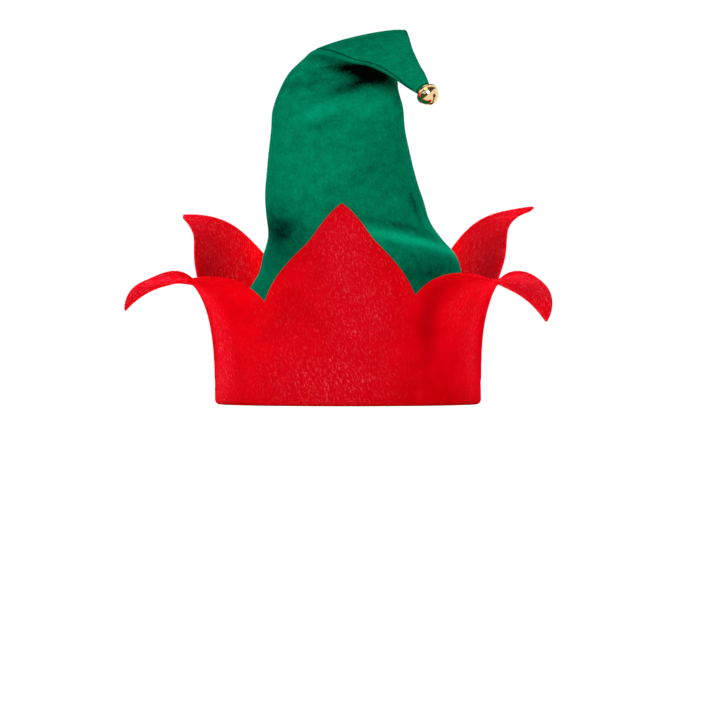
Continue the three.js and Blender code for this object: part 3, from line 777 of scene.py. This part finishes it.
def bell_mesh():
    """The bell's skin, turned from its outline, with the slit and its round ends cut out of it."""
    rows = [(row["radius"] * BELL_RADIUS, row["height"], row["name"]) for row in BELL_OUTLINE]
    outline = [(r, h * (BELL_BOTTOM_DROP if h < 0 else BELL_TOP_RISE), name) for r, h, name in rows]
    radii = [point[0] for point in outline]
    heights = [point[1] for point in outline]
    crisp = {"shoulder", "groove", "flange_under", "flange_over", "top_edge"}
    path = []
    for k in range(len(outline) - 1):
        straight = outline[k][2] in crisp and outline[k + 1][2] in crisp
        steps = 2 if straight else BELL_ROW_STEPS
        for step in range(steps):
            place = k + step / steps
            if straight:
                share = step / steps
                radius = radii[k] * (1 - share) + radii[k + 1] * share
                height = heights[k] * (1 - share) + heights[k + 1] * share
            else:
                radius = smooth_between(radii, place)
                height = smooth_between(heights, place)
            path.append(Vector((max(radius, 0), 0, height)))
    path.append(Vector((0, 0, BELL_TOP_RISE)))
    bm = bmesh.new()
    verts = [bm.verts.new(point) for point in path]
    edges = [bm.edges.new(pair) for pair in zip(verts, verts[1:])]
    profile = verts + edges
    whole = 2 * math.pi
    bmesh.ops.spin(bm, geom=profile, axis=UP, cent=(0, 0, 0), steps=BELL_STEPS, angle=whole, use_merge=True)
    bmesh.ops.remove_doubles(bm, verts=bm.verts, dist=0.01)
    across = Vector((-math.sin(BELL_SLIT_TURN), math.cos(BELL_SLIT_TURN), 0))
    along = Vector((math.cos(BELL_SLIT_TURN), math.sin(BELL_SLIT_TURN), 0))

    def in_opening(point):
        if point.z > BELL_OPENING_TOP:
            return False
        reach = abs(point.dot(along))
        if reach < BELL_SLIT_LENGTH / 2 and abs(point.dot(across)) < BELL_SLIT_WIDTH / 2:
            return True
        return math.hypot(reach - BELL_SLIT_LENGTH / 2, point.dot(across)) < BELL_END_HOLE / 2

    for side in (-1, 1):
        offset = across * side * BELL_SLIT_WIDTH / 2
        low_half = [face for face in bm.faces if face.calc_center_median().z < BELL_OPENING_TOP]
        geometry = low_half + list({edge for face in low_half for edge in face.edges})
        geometry += list({vert for face in low_half for vert in face.verts})
        bmesh.ops.bisect_plane(bm, geom=geometry, plane_co=offset, plane_no=across)
    for end in (-1, 1):
        centre = along * end * BELL_SLIT_LENGTH / 2
        for k in range(BELL_HOLE_SIDES):
            turn = 2 * math.pi * (k + 0.5) / BELL_HOLE_SIDES
            outwards = along * math.cos(turn) + across * math.sin(turn)
            low = [face for face in bm.faces if face.calc_center_median().z < BELL_OPENING_TOP]
            near = [face for face in low if (face.calc_center_median() - centre).xy.length < BELL_END_HOLE]
            geometry = near + list({edge for face in near for edge in face.edges})
            geometry += list({vert for face in near for vert in face.verts})
            plane = centre + outwards * BELL_END_HOLE / 2
            bmesh.ops.bisect_plane(bm, geom=geometry, plane_co=plane, plane_no=outwards)
    opened = [face for face in bm.faces if in_opening(face.calc_center_median())]
    bmesh.ops.delete(bm, geom=opened, context="FACES")
    bmesh.ops.recalc_face_normals(bm, faces=bm.faces)
    return bm


def bell_loop():
    """The wire loop that stands on the bell, half of it between the two panels of the tip."""
    bm = bmesh.new()
    wire = LOOP_WIRE / 2
    bmesh.ops.create_circle(bm, segments=14, radius=wire)
    bmesh.ops.rotate(bm, verts=bm.verts, matrix=Matrix.Rotation(math.pi / 2, 3, "X"))
    bmesh.ops.translate(bm, verts=bm.verts, vec=(LOOP_RADIUS - wire, 0, 0))
    ring = bm.verts[:] + bm.edges[:]
    bmesh.ops.spin(bm, geom=ring, axis=(0, 1, 0), cent=(0, 0, 0), steps=40, angle=2 * math.pi, use_merge=True)
    bmesh.ops.remove_doubles(bm, verts=bm.verts, dist=0.01)
    bmesh.ops.translate(bm, verts=bm.verts, vec=(0, 0, BELL_TOP_RISE + LOOP_RADIUS - LOOP_WIRE))
    bmesh.ops.recalc_face_normals(bm, faces=bm.faces)
    return bm


def jingle_bell(material):
    """The polished bell: a thin domed shell with a crimped flange and a slit, and its wire loop."""
    place = bell_frame()
    for name, bm, wall in (("bell_shell_skin", bell_mesh(), BELL_WALL), ("bell_loop_wire", bell_loop(), 0)):
        for face in bm.faces:
            face.smooth = True
        bm.transform(place)
        mesh = bpy.data.meshes.new(name)
        bm.to_mesh(mesh)
        bm.free()
        piece = bpy.data.objects.new(name, mesh)
        bpy.context.scene.collection.objects.link(piece)
        piece.data.materials.append(material)
        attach(piece, "root")
        if wall:
            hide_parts("bell_shell")
            shell = piece.modifiers.new("plate thickness", "SOLIDIFY")
            shell.thickness = wall * MM
            shell.offset = -1
            edge = piece.modifiers.new("rounded plate edges", "BEVEL")
            edge.width = PLATE_EDGE * MM
            edge.segments = 2
            edge.limit_method = "ANGLE"
            edge.angle_limit = EDGE_ANGLE


def camera():
    """The photo's view: level, in front of the hat, with a long lens."""
    data = bpy.data.cameras.new("camera")
    data.sensor_width = 36
    data.lens = 138.46
    data.clip_start = 0.05
    data.clip_end = 100
    viewer = bpy.data.objects.new("camera", data)
    viewer.location = (0.0078, -1.8, 0.0286)
    viewer.rotation_euler = (math.pi / 2, 0, 0)
    bpy.context.scene.collection.objects.link(viewer)
    bpy.context.scene.camera = viewer


def floor():
    """A wide pale floor."""
    material, tree, shader = new_material("pale floor")
    place = add_node(tree, "ShaderNodeTexCoord").outputs["Object"]
    tone = mix_colour(tree, soft_noise(tree, place, 3, 2), (0.9, 0.9, 0.9, 1), (0.92, 0.92, 0.92, 1))
    tree.links.new(tone, shader.inputs["Base Color"])
    shader.inputs["Roughness"].default_value = 0.9
    shader.inputs["Specular IOR Level"].default_value = 0
    shader.inputs["Emission Color"].default_value = (1, 1, 1, 1)
    seen = add_node(tree, "ShaderNodeLightPath").outputs["Is Camera Ray"]
    tree.links.new(maths(tree, "MULTIPLY", seen, 0.8), shader.inputs["Emission Strength"])
    bm = bmesh.new()
    bmesh.ops.create_circle(bm, cap_ends=True, segments=64, radius=60)
    mesh = bpy.data.meshes.new("floor")
    bm.to_mesh(mesh)
    bm.free()
    ground = bpy.data.objects.new("floor", mesh)
    ground.data.materials.append(material)
    ground.visible_glossy = False
    bpy.context.scene.collection.objects.link(ground)


def lamp(name, place, width, height, power):
    """A soft rectangular lamp that looks at the middle of the hat."""
    data = bpy.data.lights.new(name, "AREA")
    data.shape = "RECTANGLE"
    data.size = width
    data.size_y = height
    data.energy = power
    light = bpy.data.objects.new(name, data)
    light.location = place
    light.rotation_mode = "QUATERNION"
    light.rotation_quaternion = (Vector((0, 0, 0.1)) - Vector(place)).to_track_quat("-Z", "Y")
    light.visible_glossy = False
    bpy.context.scene.collection.objects.link(light)


def studio_walls(tree):
    """What polished metal mirrors: a bright studio with a dark corner up on the left and two lamps in it."""
    way = add_node(tree, "ShaderNodeTexCoord").outputs["Generated"]
    corner = add_node(tree, "ShaderNodeVectorMath", {0: way, 1: (-0.65, 0, 0.76)}, operation="DOT_PRODUCT")
    along = add_node(tree, "ShaderNodeVectorMath", {0: way, 1: (0.76, 0, 0.65)}, operation="DOT_PRODUCT")
    tilt = corner.outputs["Value"]
    dark = ramp(tree, tilt, 0.04, 0.12)
    level = maths(tree, "SUBTRACT", 1.0, maths(tree, "MULTIPLY", dark, 0.93))
    for place in (0.55, 0.84):
        off = maths(tree, "ABSOLUTE", maths(tree, "SUBTRACT", tilt, place))
        end = maths(tree, "ABSOLUTE", along.outputs["Value"])
        strip = maths(tree, "MULTIPLY", ramp(tree, off, 0.1, 0.06), ramp(tree, end, 0.6, 0.45))
        level = maths(tree, "ADD", level, strip)
    return level


def lights():
    """Soft white studio light: a pale surround, a diffused sun from the front and a lamp to each side."""
    world = bpy.data.worlds.new("studio")
    world.use_nodes = True
    tree = world.node_tree
    surround = tree.nodes["Background"]
    surround.inputs["Color"].default_value = (1, 1, 1, 1)
    surround.inputs["Strength"].default_value = 0.16
    seen = add_node(tree, "ShaderNodeBackground", {"Color": (1, 1, 1, 1), "Strength": 1.05})
    path = add_node(tree, "ShaderNodeLightPath")
    mirrored = add_node(tree, "ShaderNodeBackground", {"Color": (1, 1, 1, 1), "Strength": studio_walls(tree)})
    shares = {0: path.outputs["Is Glossy Ray"], 1: surround.outputs[0], 2: mirrored.outputs[0]}
    metal = add_node(tree, "ShaderNodeMixShader", shares)
    shares = {0: path.outputs["Is Camera Ray"], 1: metal.outputs[0], 2: seen.outputs[0]}
    both = add_node(tree, "ShaderNodeMixShader", shares)
    tree.links.new(both.outputs[0], tree.nodes["World Output"].inputs["Surface"])
    bpy.context.scene.world = world
    data = bpy.data.lights.new("diffused sun", "SUN")
    data.energy = 1.85
    data.angle = math.radians(30)
    sun = bpy.data.objects.new("diffused sun", data)
    sun.rotation_mode = "QUATERNION"
    sun.rotation_quaternion = Vector((0.06, 0.88, -0.46)).to_track_quat("-Z", "Y")
    bpy.context.scene.collection.objects.link(sun)
    lamp("left lamp", (-2.1, -0.9, 1.1), 0.9, 1.2, 4)
    lamp("right lamp", (2.1, -0.9, 1.1), 0.9, 1.2, 2)
    lamp("left back lamp", (-0.4, 2.05, 0.9), 0.8, 1.2, 75)
    lamp("right back lamp", (0.4, 2.05, 0.9), 0.8, 1.2, 80)


camera()
floor()
lights()
bpy.context.scene.view_settings.view_transform = "Standard"

green = green_felt()
red = red_felt()
gold = polished_gold()
steel = plain_steel()

front_panel = crown_panel("crown_front_panel_felt", True, green)
back_panel = crown_panel("crown_back_panel_felt", False, green)
cuff = petal_cuff(red)
jingle_bell(gold)
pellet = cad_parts["bell_pellet"]
pellet.data.materials.clear()
pellet.data.materials.append(steel)
